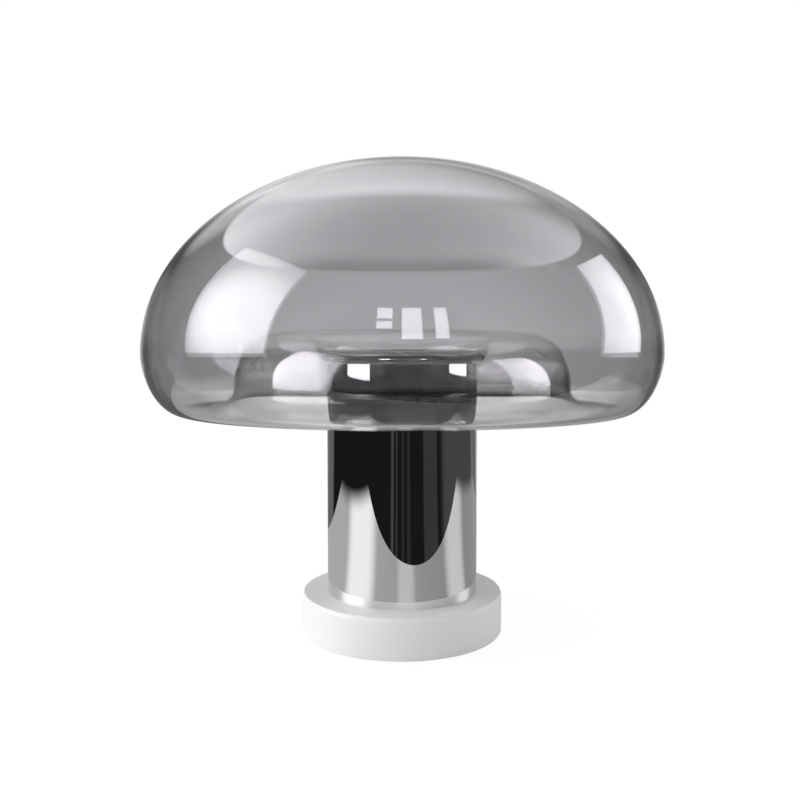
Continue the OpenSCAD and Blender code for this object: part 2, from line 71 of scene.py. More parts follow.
# %% [markdown]
# ## The camera
#
# A picture of a round thing says a lot about its camera. The two rims of the foot are ellipses, and how
# much they open gives the height of the lens. How much the near rim outgrows the far one gives the
# distance. Fitted to the outline, the lens stands half a metre from the lamp, a little above the top of
# the stem, and looks down by three degrees. A wide picture at so short a distance needs a lens of about
# 37 mm on a 36 mm sensor.

# %% Place the camera
LOOK_DOWN = 0.057

camera = bpy.data.objects.new("camera", bpy.data.cameras.new("camera"))
bpy.context.scene.collection.objects.link(camera)
camera.data.sensor_width = 36
camera.data.lens = 37.125
camera.data.clip_start = 0.01
camera.location = (-0.0013, -0.4955, 0.1672)
camera.rotation_euler = (math.pi / 2 - LOOK_DOWN, 0, 0)
bpy.context.scene.camera = camera
print("camera at", [round(v, 4) for v in camera.location], "with a lens of", camera.data.lens, "mm")

# %% [markdown]
# ## Shader sums in plain Python
#
# A finish is a small sum: a colour here, a little noise there. Drawn as nodes it takes a dozen boxes and
# wires, and written as Python it takes a line. Signal wraps the output of a node and turns + - and *
# into Math nodes, so that 1 - mask means what it says.

# %% A socket that can be used in a sum
class Signal:
    def __init__(self, graph, socket):
        self.graph, self.socket = graph, socket

    def math(self, operation, first, second):
        return self.graph.add("ShaderNodeMath", {"operation": operation}, {0: first, 1: second})

    def __add__(self, other):
        return self.math("ADD", self, other)

    def __radd__(self, other):
        return self.math("ADD", other, self)

    def __sub__(self, other):
        return self.math("SUBTRACT", self, other)

    def __rsub__(self, other):
        return self.math("SUBTRACT", other, self)

    def __mul__(self, other):
        return self.math("MULTIPLY", self, other)

    def __rmul__(self, other):
        return self.math("MULTIPLY", other, self)


print("Signal knows", [name for name in vars(Signal) if name.endswith(("add__", "sub__", "mul__"))])

# %% [markdown]
# Graph holds one tree of nodes. Every node is made by add(), which takes the type, then the settings,
# then what goes into the sockets. It gives back one output as a Signal. The short helpers stand on it:
# mix() blends colours, which a Math node would turn grey, and noise() gives cloudy patches of a stated
# size in metres, because the whole scene is in metres.

# %% The one place where a node is made
class Graph:
    def __init__(self, tree):
        self.tree = tree
        tree.nodes.clear()

    def add(self, kind, settings=None, inputs=None, output=0):
        node = self.tree.nodes.new(kind)
        for name, value in (settings or {}).items():
            setattr(node, name, value)
        for name, value in (inputs or {}).items():
            if isinstance(value, Signal):
                self.tree.links.new(value.socket, node.inputs[name])
            else:
                node.inputs[name].default_value = value
        return Signal(self, node.outputs[output]) if node.outputs else None

    def mix(self, share, first, second):
        return self.add("ShaderNodeMix", {"data_type": "RGBA"}, {0: share, 6: first, 7: second}, output=2)

    def place(self):
        return self.add("ShaderNodeTexCoord", output="Object")

    def noise(self, size, detail=2.0):
        inputs = {"Vector": self.place(), "Scale": 1 / size, "Detail": detail}
        return self.add("ShaderNodeTexNoise", None, inputs)

    def bump(self, height, depth):
        return self.add("ShaderNodeBump", None, {"Height": height, "Distance": depth})

    def clamp(self, value):
        return self.add("ShaderNodeClamp", None, {0: value})

    def principled(self, **inputs):
        named = {name.replace("_", " "): value for name, value in inputs.items()}
        return self.add("ShaderNodeBsdfPrincipled", None, named)


print("Graph has", [name for name in vars(Graph) if not name.startswith("_")])

# %% [markdown]
# A finish is a material whose tree a painter fills. The painter gets the empty graph and gives back the
# surface, so that what differs from finish to finish stands in one short function. Three small helpers
# come with it: rgba() for a plain colour, step() for a soft border, and path() for what Blender knows
# about the ray that is looking.

# %% From a painter to a finish
def rgba(red, green, blue):
    return (red, green, blue, 1.0)


def step(graph, value, start, end):
    """0 up to start and 1 from end on, with a soft run between them. It may also run downwards."""
    inputs = {"Value": value, "From Min": start, "From Max": end}
    return graph.add("ShaderNodeMapRange", {"interpolation_type": "SMOOTHSTEP"}, inputs)


def path(graph, kind):
    return graph.add("ShaderNodeLightPath", output=kind)


def finish(name, paint):
    material = bpy.data.materials.new(name)
    material.use_nodes = True
    graph = Graph(material.node_tree)
    graph.add("ShaderNodeOutputMaterial", None, {"Surface": paint(graph)})
    print("finish", name, "has", len(graph.tree.nodes), "nodes")
    return material


# %% [markdown]
# ## Smoked glass
#
# The dome is clear glass with a little grey in it, and under the rim the grey runs out: the wall of the
# bowl that the glass folds into is almost clear, and so is the lowest edge of the fold. A grey body could
# be made with Volume Absorption, but its density can't change along the wall without slow steps through
# the glass. So the grey is in Base Color, which tints a ray each time it goes through the skin, and it
# fades over a few bands of height and radius.
#
# Two things are bent for speed. Light that falls through curved glass gathers into bright curls that take
# an age to render clean, so for a lamp's shadow ray the glass is a plain tinted filter. And a renderer
# holds back single very bright reflections, which would leave the lamps dull in the bowl. A thin coat on
# both flanks of the bowl mirrors more of them instead. In front of the tube there is none.

# %% The smoked glass
SMOKE = rgba(0.53, 0.525, 0.53)
CLEAR = rgba(0.985, 0.985, 0.985)
SMOKE_FILTER = rgba(0.80, 0.80, 0.80)
# bands in metres where the clear bowl begins or ends: from the axis, and above the floor
BOWL_RADIUS, BOWL_FLOOR, BOWL_TOP = (0.100, 0.114), (0.143, 0.155), (0.19, 0.20)
# the same for the lowest edge of the fold, and how much of the grey it loses
FOLD_EDGE, FOLD_LOSS = (0.1328, 0.1358), 0.7
# the coat begins this far to the left and right of the axis, in metres
FLANK, COAT, COAT_IOR = (0.034, 0.044), 0.6, 1.8


def paint_glass(graph):
    flat = graph.add("ShaderNodeVectorMath", {"operation": "MULTIPLY"}, {0: graph.place(), 1: (1, 1, 0)})
    radius = graph.add("ShaderNodeVectorMath", {"operation": "LENGTH"}, {0: flat}, output="Value")
    height = graph.add("ShaderNodeSeparateXYZ", None, {0: graph.place()}, output="Z")
    bowl = (1 - step(graph, radius, *BOWL_RADIUS)) * (1 - step(graph, height, *BOWL_TOP))
    bowl = bowl * step(graph, height, *BOWL_FLOOR)
    edge = (1 - step(graph, height, *FOLD_EDGE)) * (1 - bowl)
    tint = graph.mix(bowl + FOLD_LOSS * edge, SMOKE, CLEAR)
    sideways = graph.add("ShaderNodeSeparateXYZ", None, {0: graph.place()}, output="X")
    flanks = step(graph, sideways * sideways, FLANK[0] ** 2, FLANK[1] ** 2)
    clear = graph.principled(Base_Color=tint, Transmission_Weight=1.0, Roughness=0.0, IOR=1.5,
                             Coat_Weight=COAT * bowl * flanks, Coat_Roughness=0.0, Coat_IOR=COAT_IOR)
    filtered = graph.add("ShaderNodeBsdfTransparent", None, {"Color": SMOKE_FILTER})
    return graph.add("ShaderNodeMixShader", None, {0: path(graph, "Is Shadow Ray"), 1: clear, 2: filtered})


smoked_glass = finish("smoked_glass", paint_glass)

# %% [markdown]
# ## Chrome
#
# Chrome plate on a drawn tube is a mirror. Its colour is that of chromium, a slightly cool grey that
# gives back about seven tenths of the light. The polish is never quite even, so the roughness drifts a
# little in patches of a few centimetres.

# %% The chrome plate
def uneven(graph, least, drift, size):
    """A roughness that drifts from least to least + drift in patches of a stated size."""
    return least + drift * graph.noise(size)


def paint_chrome(graph):
    polish = uneven(graph, 0.003, 0.008, 0.03)
    return graph.principled(Base_Color=rgba(0.72, 0.72, 0.73), Metallic=1.0, Roughness=polish)


chrome_plate = finish("chrome_plate", paint_chrome)

# %% [markdown]
# ## White stone
#
# The foot is plain white stone, polished until it reflects. From a hand's breadth it looks even. Closer
# up it has soft clouds that are a shade greyer, and the polish drifts a little. The clouds are kept
# faint: strong veins would make another stone of it.
#
# Where the tube stands on the stone, the photograph has a fine dark corner, and light off the chrome
# would wash it out. So that shade is painted into the stone's colour: Ambient Occlusion tells how much
# open space a point sees within a centimetre, and the colour darkens by it.

# %% The polished white stone
PALE, PALER = rgba(0.82, 0.82, 0.83), rgba(0.92, 0.92, 0.915)
# how far the shade painted into the corner reaches, in metres, and what its darkest place keeps
REACH, KEPT = 0.010, 0.05


def paint_stone(graph):
    clouds = graph.mix(graph.noise(0.035, 5.0), PALE, PALER)
    occlusion = {"samples": 6}
    open_space = graph.add("ShaderNodeAmbientOcclusion", occlusion, {"Distance": REACH}, output="AO")
    # painted shade: the colour darkens where little space is open, in the corner by the tube
    colour = graph.mix(KEPT + (1 - KEPT) * open_space * open_space, rgba(0, 0, 0), clouds)
    return graph.principled(Base_Color=colour, Roughness=uneven(graph, 0.003, 0.007, 0.012), IOR=1.5)


finish("white_stone", paint_stone)

# %% [markdown]
# ## Rubber and silicone
#
# Moulded rubber is matt, and its surface has a fine tooth from the mould. The same painter serves the
# dark pad, the dark bush and the pale inlet, and takes the colour as its only difference. The ring under
# the glass is translucent silicone: light goes a little way in and comes out again.

# %% The rubbers and the silicone
def rubber(colour):
    def paint(graph):
        tooth = graph.bump(graph.noise(0.0006, 3.0), 0.00004)
        return graph.principled(Base_Color=colour, Roughness=uneven(graph, 0.62, 0.18, 0.008), Normal=tooth)
    return paint


def paint_silicone(graph):
    haze = uneven(graph, 0.3, 0.15, 0.01)
    return graph.principled(Base_Color=rgba(0.80, 0.82, 0.83), Roughness=haze,
                            Transmission_Weight=0.55, IOR=1.41)


finish("grey_rubber", rubber(rgba(0.05, 0.05, 0.052)))
finish("white_rubber", rubber(rgba(0.74, 0.74, 0.73)))
finish("clear_silicone", paint_silicone)

# %% [markdown]
# ## Steel, brass and aluminium
#
# The parts inside are made, not decorated. Zinc plating has a soft sparkle in patches. A turned cap
# carries the fine rings of its tool, which a ring-shaped wave gives round the Z axis. The rod and the
# screws have their threads as a bump of bands across the axis: the CAD keeps them as plain cylinders.

# %% The bare metals
# colour, least roughness, size of the patches
PLATED = {
    "zinc_steel": (rgba(0.62, 0.63, 0.64), 0.26, 0.003),
    "brass": (rgba(0.78, 0.57, 0.25), 0.22, 0.002),
}
# colour, least roughness, kind of tool marks, their pitch and their depth
WORKED = {
    "turned_steel": (rgba(0.60, 0.60, 0.61), 0.22, "RINGS", 0.0006, 0.00003),
    "screw_steel": (rgba(0.56, 0.56, 0.57), 0.24, "BANDS", 0.00125, 0.0004),
    "bare_aluminium": (rgba(0.78, 0.79, 0.80), 0.3, "RINGS", 0.0004, 0.00002),
}


def darker(colour, share):
    return rgba(*[share * value for value in colour[:3]])


def metal(colour, dull, size):
    def paint(graph):
        cloud = graph.noise(size, 4.0)
        tinted = graph.mix(cloud, darker(colour, 0.86), colour)
        return graph.principled(Base_Color=tinted, Metallic=1.0, Roughness=dull + 0.16 * cloud)
    return paint


def waves(graph, kind, pitch):
    """Rings round the Z axis, or bands along it, one each pitch metres."""
    settings = {"wave_type": kind, "bands_direction": "Z", "rings_direction": "Z"}
    # one wave of this node is 2 pi / 20 long at a scale of 1
    inputs = {"Vector": graph.place(), "Scale": 2 * math.pi / 20 / pitch}
    return graph.add("ShaderNodeTexWave", settings, inputs)


def worked_metal(colour, dull, kind, pitch, depth):
    def paint(graph):
        marks = graph.bump(waves(graph, kind, pitch), depth)
        sheen = uneven(graph, dull, 0.1, 0.004)
        return graph.principled(Base_Color=colour, Metallic=1.0, Normal=marks, Roughness=sheen)
    return paint


for name, row in PLATED.items():
    finish(name, metal(*row))
for name, row in WORKED.items():
    finish(name, worked_metal(*row))

# %% [markdown]
# ## Plastics
#
# A moulding is a flat colour with a fine spark-eroded grain. The lens over the light board is frosted, so
# some light passes into it. The wires are glossy, and the board is white enamel with a faint orange peel.

# %% The plastics
# colour, least roughness, size and depth of the grain, and how much of the light passes into it
MOULDED = {
    "white_plastic": (rgba(0.80, 0.80, 0.78), 0.42, 0.0005, 0.00003),
    "ivory_plastic": (rgba(0.80, 0.76, 0.64), 0.4, 0.0005, 0.00003),
    "frosted_plastic": (rgba(0.86, 0.86, 0.85), 0.38, 0.0004, 0.00002, 0.4),
    "board_enamel": (rgba(0.84, 0.84, 0.82), 0.22, 0.0012, 0.00001),
    "led_phosphor": (rgba(0.86, 0.66, 0.12), 0.5, 0.0003, 0.00004),
    "brown_wire": (rgba(0.16, 0.06, 0.025), 0.25, 0.002, 0.00002),
    "blue_wire": (rgba(0.02, 0.09, 0.33), 0.25, 0.002, 0.00002),
    "red_wire": (rgba(0.42, 0.012, 0.012), 0.25, 0.002, 0.00002),
    "black_wire": (rgba(0.012, 0.012, 0.012), 0.25, 0.002, 0.00002),
}


def moulded(colour, gloss, grain, depth, through=0.0):
    def paint(graph):
        tone = graph.mix(graph.noise(0.01), darker(colour, 0.93), colour)
        return graph.principled(Base_Color=tone, Roughness=uneven(graph, gloss, 0.08, 0.005), IOR=1.5,
                                Subsurface_Weight=through, Subsurface_Scale=0.002,
                                Normal=graph.bump(graph.noise(grain, 3.0), depth))
    return paint


for name, row in MOULDED.items():
    finish(name, moulded(*row))

# %% [markdown]
# ## Every CAD node gets its finish
#
# The record names a slot for each node, such as zinc_steel, and each finish above has the name of its
# slot. So the nodes dress themselves: one loop looks up the slot and puts the finish in.

# %% Dress the nodes
finishes = {material.name: material for material in bpy.data.materials if material.use_nodes}
for part in frame["record"]["subparts"]:
    node = nodes[part["node"]]
    node.data.materials.clear()
    node.data.materials.append(finishes[part["material_slot"]])
    print("  ", part["node"], "<-", part["material_slot"])

# %% [markdown]
# ## The glass, as one smooth skin
#
# The CAD glass is right in size, but its skin is made of short straight cones, and a mirror shows every
# one. So the bubble is made again from the same curves, with many more steps. It is a lathe job: one
# outline, turned once round the axis.
#
# Each curve of the outline is a Bezier quarter, level at one end and plumb at the other. Two shares say
# how long each end holds its direction. The cavity's side of the wall is the same curve moved square to
# itself by the thickness of the glass. Blown glass thins where it is drawn out, so two more shares say
# how much of that thickness is left at each end of the curve.

# %% Quarter curves and their offset
def quarter(start, end, level, lead, trail, steps, thick, thin, inset):
    """Points from start towards end, the end itself left out, moved to the right of the heading by inset
    times a share that runs from thick to thin."""
    (r0, z0), (r3, z3) = start, end
    r1, z1 = (r0 + (r3 - r0) * lead, z0) if level else (r0, z0 + (z3 - z0) * lead)
    r2, z2 = (r3, z3 - (z3 - z0) * trail) if level else (r3 - (r3 - r0) * trail, z3)
    points = []
    for count in range(steps):
        t = count / steps
        u = 1 - t
        r = u**3 * r0 + 3 * u * u * t * r1 + 3 * u * t * t * r2 + t**3 * r3
        z = u**3 * z0 + 3 * u * u * t * z1 + 3 * u * t * t * z2 + t**3 * z3
        dr = u * u * (r1 - r0) + 2 * u * t * (r2 - r1) + t * t * (r3 - r2)
        dz = u * u * (z1 - z0) + 2 * u * t * (z2 - z1) + t * t * (z3 - z2)
        long = math.hypot(dr, dz)
        move = inset * (thick + (thin - thick) * t) / long
        points.append((r + move * dz, z - move * dr))
    return points


print("a quarter in two steps:", quarter((0, 1), (1, 0), True, 0.55, 0.55, 2, 1, 1, 0))

# %% [markdown]
# The knots are the ones that the CAD source states, in metres: crown, widest circle, lowest circle of the
# fold, wall of the hollow, crest, recess and seat. Only the run from wall to crest keeps its shoulder a
# little squarer than the CAD does, because the bowl in the photograph has such a shoulder. At the neck
# the blower's cut edge is fire-polished, so it ends in a half round.

# %% The outline of the bubble
GLASS = 0.0035
CROWN, WIDEST, FOLD = (0.0, 0.278), (0.150, 0.166), (0.1255, 0.132)
WALL, CREST, RECESS, SEAT = (0.0975, 0.146), (0.062, 0.1785), (0.0515, 0.1694), (0.0455, 0.1634)
NECK = 0.019
# start, end, level at the start, shares at both ends, steps, thickness left at both ends
CURVES = [
    (CROWN, WIDEST, True, 0.555, 0.55, 64, 1.0, 1.0),
    (WIDEST, FOLD, False, 0.25, 0.75, 36, 1.0, 0.8),
    (FOLD, WALL, True, 0.6, 0.6, 24, 0.8, 0.55),
    (WALL, CREST, False, 0.66, 0.78, 40, 0.55, 0.4),
    (CREST, RECESS, True, 0.55, 0.6, 20, 0.4, 0.6),
    (RECESS, SEAT, False, 0.55, 0.55, 16, 0.6, 1.0),
]


def glass_skin(inset):
    skin = [point for curve in CURVES for point in quarter(*curve, inset)]
    disc = [(r, SEAT[1] + inset) for r in (SEAT[0], 0.040, 0.033, 0.027)]
    return skin + disc


def neck_edge(steps=8):
    half = GLASS / 2
    turn = [math.radians(-90 - 180 * count / steps) for count in range(steps + 1)]
    return [(NECK + half + half * math.cos(a), SEAT[1] + half + half * math.sin(a)) for a in turn]


outline = glass_skin(0) + neck_edge() + glass_skin(GLASS)[::-1]
thinnest = GLASS * min(curve[-1] for curve in CURVES)
print("outline of", len(outline), "points, thinnest wall, mm:", round(1000 * thinnest, 2))

# %% [markdown]
# lathe() turns an outline round the Z axis. A point on the axis becomes one vertex, so the crown closes
# with a fan of triangles and everything else is quads. The faces are shaded smooth, but a corner that
# is sharper than 35 degrees stays an edge.

# %% Turn it on the lathe
def lathe(name, profile, sides):
    mesh = bmesh.new()
    spokes = [2 * math.pi * s / sides for s in range(sides)]
    rings = []
    for r, z in profile:
        if r < 1e-6:
            rings.append([mesh.verts.new((0, 0, z))] * sides)
        else:
            rings.append([mesh.verts.new((r * math.cos(a), r * math.sin(a), z)) for a in spokes])
    for upper, lower in zip(rings, rings[1:]):
        for s in range(sides):
            corners = [upper[s], lower[s], lower[(s + 1) % sides], upper[(s + 1) % sides]]
            mesh.faces.new(list(dict.fromkeys(corners)))
    bmesh.ops.recalc_face_normals(mesh, faces=mesh.faces[:])
    data = bpy.data.meshes.new(name)
    mesh.to_mesh(data)
    mesh.free()
    data.shade_smooth()
    data.set_sharp_from_angle(angle=math.radians(35))
    made = bpy.data.objects.new(name, data)
    bpy.context.scene.collection.objects.link(made)
    return made


shade = lathe("blown_shade", outline, sides=192)
shade.data.materials.append(smoked_glass)
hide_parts("shade_glass")
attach(shade, "shade")
print("blown_shade has", len(shade.data.polygons), "faces")

# %% [markdown]
# The tube is turned in the same way, and for the same reason: the table's edge in it should be a clean
# line. Its outline runs once round the wall, with a fine arris broken at the top and a ledge inside,
# where the cap rests.

# %% Turn the chrome tube
OUTSIDE, BORE = 0.045, 0.0435
BOTTOM, LEDGE, TOP = 0.0245, 0.1585, 0.162
RING, ARRIS = 0.003, 0.0002

wall = [(BORE, BOTTOM), (OUTSIDE, BOTTOM), (OUTSIDE, TOP - ARRIS), (OUTSIDE - ARRIS, TOP), (BORE, TOP)]
ledge = [(BORE, LEDGE), (BORE - RING, LEDGE), (BORE - RING, LEDGE - RING), (BORE, LEDGE - RING)]
tube = lathe("chrome_tube", wall + ledge + [(BORE, BOTTOM)], sides=384)
tube.data.materials.append(chrome_plate)
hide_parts("stem_tube")
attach(tube, "stand")
print("chrome_tube has", len(tube.data.polygons), "faces")

# %% [markdown]
# ## Directions
#
# Everything that mirrors see is painted by direction: as a bearing over the floor, or as a look into the
# room. An azimuth of 0 points to the side of the camera and grows to the right. How near a look is to a
# direction is one dot product, and a round patch is a limit on it.

# %% Directions and round patches
def direction(azimuth, elevation):
    """Azimuth from the camera's side, positive to the right, and elevation, in degrees."""
    a, e = math.radians(azimuth), math.radians(elevation)
    return Vector((math.sin(a) * math.cos(e), -math.cos(a) * math.cos(e), math.sin(e)))


def along(graph, vector, axis):
    """How far a vector reaches along an axis."""
    inputs = {0: vector, 1: tuple(axis)}
    return graph.add("ShaderNodeVectorMath", {"operation": "DOT_PRODUCT"}, inputs, output="Value")


def patch(graph, vector, middle, inner, outer):
    """1 where a unit vector is within the inner angle of the middle, 0 past the outer one, in degrees."""
    limits = math.cos(math.radians(outer)), math.cos(math.radians(inner))
    return step(graph, along(graph, vector, middle), *limits)


print("azimuth -90 is the left of the picture:", [round(v, 2) for v in direction(-90, 0)])

# %% [markdown]
# ## Telling rays apart
#
# One picture can't be lit as the photographer lit it: the backdrop is plain white for the eye, and the
# same lamp mirrors a dark room. Blender's Light Path says what a ray has met on its way. Glossy Depth
# counts mirrors, Diffuse Depth dull surfaces and Transmission Depth skins of glass. So floor and world
# can answer the eye in one way, a mirror in another and a mirror inside the glass in a third.

# %% Telling rays apart
def eye_ray(graph):
    """1 for the eye, also through glass, and 0 once a mirror or a dull surface has turned the ray."""
    turned = graph.clamp(path(graph, "Glossy Depth") + path(graph, "Diffuse Depth"))
    return (path(graph, "Is Camera Ray") + path(graph, "Is Transmission Ray")) * (1 - turned)


def mirror_ray(graph):
    """1 once a mirror has turned the ray of the eye, whatever glass it passes afterwards."""
    turned = graph.clamp(path(graph, "Is Glossy Ray") + path(graph, "Glossy Depth"))
    gathered = graph.clamp(path(graph, "Diffuse Depth"))
    return turned * (1 - gathered)


def inner_ray(graph):
    """1 for a ray that went through two skins of glass before a mirror and two after it."""
    return graph.clamp(path(graph, "Transmission Depth") - 3)


print("kinds of ray:", [kind.__name__ for kind in (eye_ray, mirror_ray, inner_ray)])

# %% [markdown]
# ## The table that the chrome mirrors
#
# The chrome tells more than the eye can see. It mirrors a small glossy table, turned a little, which ends
# a hand's length in front of the foot and fades out at both sides. A real table would show in the picture,
# so it is painted on the floor for mirrors alone, and its light and sheen are painted too: darker to the
# right, with a painted pale band of sheen towards each bright lamp of the room.

# %% The mirrored table
TABLE_TURN = math.radians(17.5)
# where each side of the table begins to fade and is gone, in metres along the turned axes
TABLE_FRONT, TABLE_BACK = (-0.236, -0.235), (0.298, 0.301)
TABLE_LEFT, TABLE_RIGHT = (-0.60, -0.42), (0.48, 0.66)
# painted light of the table, and how much darker it is painted to the right
PAINTED_TABLE_LIGHT, PAINTED_LIGHT_FALL = 0.42, 0.1
# azimuth of each painted pale band of sheen, full and gone at these angles from it, and brightness
PAINTED_SHEEN_BANDS = [(-60, 10, 27, 0.65), (5, 4, 14, 0.25), (79, 6, 22, 0.42)]


def table_shape(graph):
    """1 on the table, 0 past its sides."""
    across = along(graph, graph.place(), (math.cos(TABLE_TURN), math.sin(TABLE_TURN), 0))
    deep = along(graph, graph.place(), (-math.sin(TABLE_TURN), math.cos(TABLE_TURN), 0))
    length = step(graph, deep, *TABLE_FRONT) * (1 - step(graph, deep, *TABLE_BACK))
    return length * step(graph, across, *TABLE_LEFT) * (1 - step(graph, across, *TABLE_RIGHT))


def painted_table_sheen(graph, bearing):
    # painted light and painted sheen: darker to the right, with a pale band towards each lamp
    gloss = PAINTED_TABLE_LIGHT - PAINTED_LIGHT_FALL * along(graph, bearing, (1, 0, 0))
    for azimuth, inner, outer, bright in PAINTED_SHEEN_BANDS:
        gloss = gloss + bright * patch(graph, bearing, direction(azimuth, 0), inner, outer)
    return gloss


print("table", round(TABLE_BACK[0] - TABLE_FRONT[1], 3), "m deep, with", len(PAINTED_SHEEN_BANDS), "bands of gloss")

# %% [markdown]
# ## The floor
#
# The lamp stands on plain white. For the eye the floor gives its own light, so that it stays white, and
# the rest is white paint that takes the lamp's shadow. For mirrors it carries the table, and past the
# table it is almost black, with a few pale strips that are things in the room. Behind the lamp it turns
# pale, where only the glass mirrors it.

# %% What the floor shows
FAR_FLOOR = 0.011
# azimuth, half width and brightness of the pale strips, and how many half widths away a strip is gone
STRIPS = [(-141, 14, 0.13), (-14, 1.6, 0.06), (-8, 1.1, 0.035), (1, 1.4, 0.02), (9, 2, 0.02),
          (41, 9, 0.035), (100, 34, 0.06), (141, 14, 0.10)]
STRIP_EDGE = 1.3
# how much a bearing points backwards where the floor behind the lamp turns pale, and paler still
BACK_FLOOR, BACK_GLOW = (0.78, 0.96), (0.93, 0.99)
# what the eye sees: the floor's own light, and its share against the paint
WHITE, OWN_SHARE = 1.06, 0.88
PAPER = rgba(0.84, 0.84, 0.84)


def past_table(graph, bearing):
    rightward, backward = along(graph, bearing, (1, 0, 0)), along(graph, bearing, (0, 1, 0))
    far = FAR_FLOOR + step(graph, backward, *BACK_FLOOR) * (0.3 + 0.45 * rightward)
    far = far + 0.6 * step(graph, backward, *BACK_GLOW)
    for azimuth, half, bright in STRIPS:
        far = far + bright * patch(graph, bearing, direction(azimuth, 0), half, STRIP_EDGE * half)
    return far


def paint_floor(graph):
    bearing = graph.add("ShaderNodeVectorMath", {"operation": "NORMALIZE"}, {0: graph.place()})
    far = past_table(graph, bearing)
    mirrored = far + table_shape(graph) * (painted_table_sheen(graph, bearing) - far)
    seen = WHITE * eye_ray(graph) + mirror_ray(graph) * mirrored
    grey = graph.add("ShaderNodeCombineXYZ", None, {"X": seen, "Y": seen, "Z": seen})
    own_light = graph.add("ShaderNodeEmission", None, {"Color": grey})
    paper = graph.add("ShaderNodeBsdfDiffuse", None, {"Color": PAPER})
    share = OWN_SHARE * eye_ray(graph) + mirror_ray(graph)
    return graph.add("ShaderNodeMixShader", None, {0: share, 1: paper, 2: own_light})


print("past the table there are", len(STRIPS), "pale strips")

# %% Lay the floor
def sheet(name, left, right, front, back, height, paint):
    mesh = bmesh.new()
    corners = ((left, front, height), (right, front, height), (right, back, height), (left, back, height))
    mesh.faces.new([mesh.verts.new(corner) for corner in corners])
    data = bpy.data.meshes.new(name)
    mesh.to_mesh(data)
    mesh.free()
    made = bpy.data.objects.new(name, data)
    made.data.materials.append(finish(name, paint))
    bpy.context.scene.collection.objects.link(made)
    made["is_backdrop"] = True
    return made


floor = sheet("floor", -2.0, 2.0, -1.6, 2.0, 0.0, paint_floor)
print("floor", [round(v, 2) for v in floor.dimensions])

# %% [markdown]
# ## Lamps for the dull surfaces
#
# A light that is bright enough to show in glass burns out white stone. So the two jobs are kept apart.
# The lamps here are gentle and light only what is dull: stone, rubber, the floor. What the glass and the
# chrome mirror is painted on the world in the next step.

# %% Lamps by direction
LAMP_CENTRE = Vector((0, 0, 0.10))


def lamp(name, azimuth, elevation, distance, width, height, radiance):
    data = bpy.data.lights.new(name, "AREA")
    data.shape, data.size, data.size_y = "RECTANGLE", width, height
    # the power of a flat lamp is its radiance times pi times its area
    data.energy = radiance * math.pi * width * height
    made = bpy.data.objects.new(name, data)
    made.location = LAMP_CENTRE + direction(azimuth, elevation) * distance
    made.rotation_euler = direction(azimuth, elevation).to_track_quat("Z", "Y").to_euler()
    made.visible_camera = made.visible_glossy = made.visible_transmission = False
    bpy.context.scene.collection.objects.link(made)
    print("  ", name, [round(v, 2) for v in made.location], "radiance", radiance)


# name, azimuth and elevation in degrees, distance, width and height in metres, radiance
for row in (("left_lamp", -78, 14, 2.0, 1.75, 1.6, 3.15),
            ("right_lamp", 106, 18, 2.0, 1.0, 1.25, 1.0),
            ("top_lamp", 0, 90, 1.2, 1.6, 1.2, 1.4)):
    lamp(*row)

# %% [markdown]
# ## The room that mirrors see
#
# The bright shapes on the glass are the lamps of a room, bent by its curve. Following the corners of a
# shape from the camera to the glass and off it gives the directions of the corners in the room: a large
# softbox on the left, a narrower one on the right and farther back, four small panes behind the camera,
# and overhead a wide round reflector with the dark rim of its front edge and a glow behind it.
#
# Lamps that bright would burn out the stone, so the shapes are painted on the world, where only mirrors
# see them. The world's look direction is all that is needed. A pane has straight sides, and each side is
# a plane through the lamp, so a look is inside the pane when it is on the inner side of all its planes.

# %% The world's tree and its shapes
world = bpy.data.worlds.new("room")
bpy.context.scene.world = world
world.use_nodes = True
sky = Graph(world.node_tree)
look = sky.add("ShaderNodeTexCoord", output="Generated")
right_of, behind, above = [along(sky, look, axis) for axis in ((1, 0, 0), (0, 1, 0), (0, 0, 1))]
within = inner_ray(sky)
# 1 once a second mirror has turned the ray
twice = sky.clamp(path(sky, "Glossy Depth") - 1)


def round_patch(azimuth, elevation, inner, outer):
    return patch(sky, look, direction(azimuth, elevation), inner, outer)


def pane(corners, soft):
    """A patch with straight sides between its corners, taken clockwise as the lamp sees them."""
    looks = [direction(*corner) for corner in corners]
    inside = None
    for here, there in zip(looks, looks[1:] + looks[:1]):
        side = step(sky, along(sky, look, there.cross(here).normalized()), 0.0, soft)
        inside = side if inside is None else inside * side
    return inside


print("the room's tree starts with", len(sky.tree.nodes), "nodes")

# %% [markdown]
# The walls come first, as a brightness. The wall behind the camera is bright above the horizon and the
# far corners are dim: they make the dark limbs of the dome. A few pale patches far behind the lamp keep
# those limbs from going black, and at the horizon stand the same strips as on the floor.

# %% Walls
DIM, BRIGHT, LOW_BACK = 0.12, 1.8, 0.6
# azimuth, elevation, inner and outer angle, brightness
WALL_PATCHES = [(180, 22, 6, 26, 0.6), (-150, 32, 4, 14, 0.75),
                (-166, 28, 4, 12, 0.4), (152, 31, 4, 14, 0.35)]

walls = DIM + BRIGHT * step(sky, behind, 0.35, -0.8)
for azimuth, elevation, inner, outer, bright in WALL_PATCHES:
    walls = walls + bright * round_patch(azimuth, elevation, inner, outer)
horizon = step(sky, above, 0.0, 0.1)
low_back = LOW_BACK * step(sky, behind, 0.8, 0.96) * (1 - step(sky, above, 0.05, 0.15))
walls = walls * horizon + low_back
for azimuth, half, bright in STRIPS:
    walls = walls + bright * round_patch(azimuth, 0, half, STRIP_EDGE * half)
print("walls with", len(WALL_PATCHES), "patches and", len(STRIPS), "strips")

# %% [markdown]
# The reflector overhead is a round patch, laid over the walls. It makes the large lens on the front of the
# dome, and its dark front rim is the darker band along the lens' lower edge. It is brighter to both sides,
# most of all to the front right, and dimmer at the back. The glow behind it makes the pale cap over the
# lens. A second mirror has lost some of the light, so a ray that was turned twice sees less of all this.

